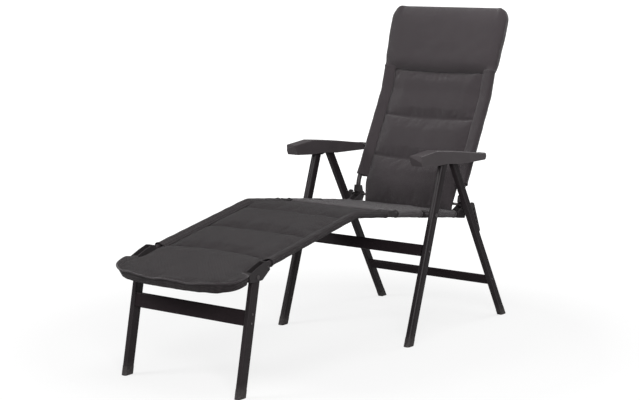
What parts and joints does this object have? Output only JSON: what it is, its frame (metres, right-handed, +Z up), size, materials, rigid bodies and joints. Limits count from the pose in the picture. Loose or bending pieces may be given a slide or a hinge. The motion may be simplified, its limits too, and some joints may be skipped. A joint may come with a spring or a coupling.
{
  "type": "folding camping chair",
  "caption": "Folding camping chair with padded high back, head pillow, moulded armrests and a folding leg rest clipped to the seat.",
  "frame": {"origin": "On the floor, at the middle of the whole chair's bounding box, with the leg rest attached and the chair open", "axes": "+Z up, -Y the way the sitter faces, +X the right-hand side of the pictured chair seen from its front"},
  "size_m": [0.615, 1.726, 1.2037],
  "materials": {
    "frame_paint": "satin anthracite powder coat",
    "crossbar_paint": "satin black powder coat",
    "nylon": "moulded black nylon",
    "arm_plastic": "moulded anthracite plastic",
    "chair_fabric": "padded woven polyester",
    "rest_fabric": "padded woven polyester with a fine diagonal weave",
    "steel": "blackened steel"
  },
  "bodies": {
    "seat": {"seat_side_tube_left": "frame_paint", "seat_side_tube_right": "frame_paint", "seat_front_tube": "frame_paint", "seat_corner_left": "nylon", "seat_corner_right": "nylon", "seat_saddle_left": "nylon", "seat_saddle_right": "nylon", "seat_clevis_left": "nylon", "seat_clevis_right": "nylon", "seat_axle": "steel", "seat_pivot_pins": "steel", "seat_pad": "chair_fabric"},
    "front_legs": {"front_leg_left": "frame_paint", "front_leg_right": "frame_paint", "front_crossbar": "crossbar_paint", "front_foot_cap_left": "nylon", "front_foot_cap_right": "nylon", "front_bar_rivets": "steel"},
    "leg_blocks": {"leg_hinge_block_left": "nylon", "leg_hinge_block_right": "nylon"},
    "rear_legs": {"rear_leg_left": "frame_paint", "rear_leg_right": "frame_paint", "rear_crossbar": "crossbar_paint", "notched_guide_left": "nylon", "notched_guide_right": "nylon", "rear_foot_cap_left": "nylon", "rear_foot_cap_right": "nylon", "rear_bar_rivets": "steel"},
    "back": {"back_frame": "frame_paint", "back_knuckle_left": "nylon", "back_knuckle_right": "nylon", "hinge_bushes": "nylon", "arm_pins": "steel", "back_pad": "chair_fabric", "head_pillow": "chair_fabric"},
    "armrests": {"armrest_left": "arm_plastic", "armrest_right": "arm_plastic", "arm_bushes": "nylon"},
    "leg_rest": {"rest_tube_left": "frame_paint", "rest_tube_right": "frame_paint", "rest_clip_left": "nylon", "rest_clip_right": "nylon", "rest_bracket_left": "nylon", "rest_bracket_right": "nylon", "rest_bracket_rivets": "steel", "rest_bow_tube": "frame_paint", "rest_pivot_pins": "steel", "rest_panel": "rest_fabric", "foot_pad": "rest_fabric"},
    "rest_legs": {"rest_leg_left": "frame_paint", "rest_leg_right": "frame_paint", "rest_crossbar": "crossbar_paint", "rest_foot_cap_left": "nylon", "rest_foot_cap_right": "nylon", "rest_bar_rivets": "steel"}
  },
  "joints": [
    {"name": "fold", "type": "hinge", "parent": "seat", "child": "front_legs", "pos_m": [0, 0.28128, 0.462], "axis": [1, 0, 0], "range_deg": [0, 86.5]},
    {"name": "leg_block_fold", "type": "hinge", "parent": "front_legs", "child": "leg_blocks", "pos_m": [0, 0.34419, 0.65], "axis": [1, 0, 0], "range_deg": [-87, 0]},
    {"name": "rear_leg_fold", "type": "hinge", "parent": "leg_blocks", "child": "rear_legs", "pos_m": [0, 0.40389, 0.665], "axis": [1, 0, 0], "range_deg": [0, 38.2]},
    {"name": "back_fold", "type": "hinge", "parent": "seat", "child": "back", "pos_m": [0, 0.55978, 0.462], "axis": [1, 0, 0], "range_deg": [0, 87]},
    {"name": "arm_fold", "type": "hinge", "parent": "back", "child": "armrests", "pos_m": [0, 0.62269, 0.65], "axis": [1, 0, 0], "range_deg": [-87, 0]},
    {"name": "rest_tilt", "type": "hinge", "parent": "seat", "child": "leg_rest", "pos_m": [0, 0.07467, 0.4892], "axis": [1, 0, 0], "range_deg": [-30, 25]},
    {"name": "rest_leg_fold", "type": "hinge", "parent": "leg_rest", "child": "rest_legs", "pos_m": [0, -0.69734, 0.38593], "axis": [1, 0, 0], "range_deg": [0, 88]}
  ],
  "couplings": [
    {"joint": "leg_block_fold", "follows": "fold", "ratio": -1},
    {"joint": "rear_leg_fold", "follows": "fold", "ratio": 0.4384},
    {"joint": "back_fold", "follows": "fold", "ratio": 1},
    {"joint": "arm_fold", "follows": "fold", "ratio": -1}
  ]
}
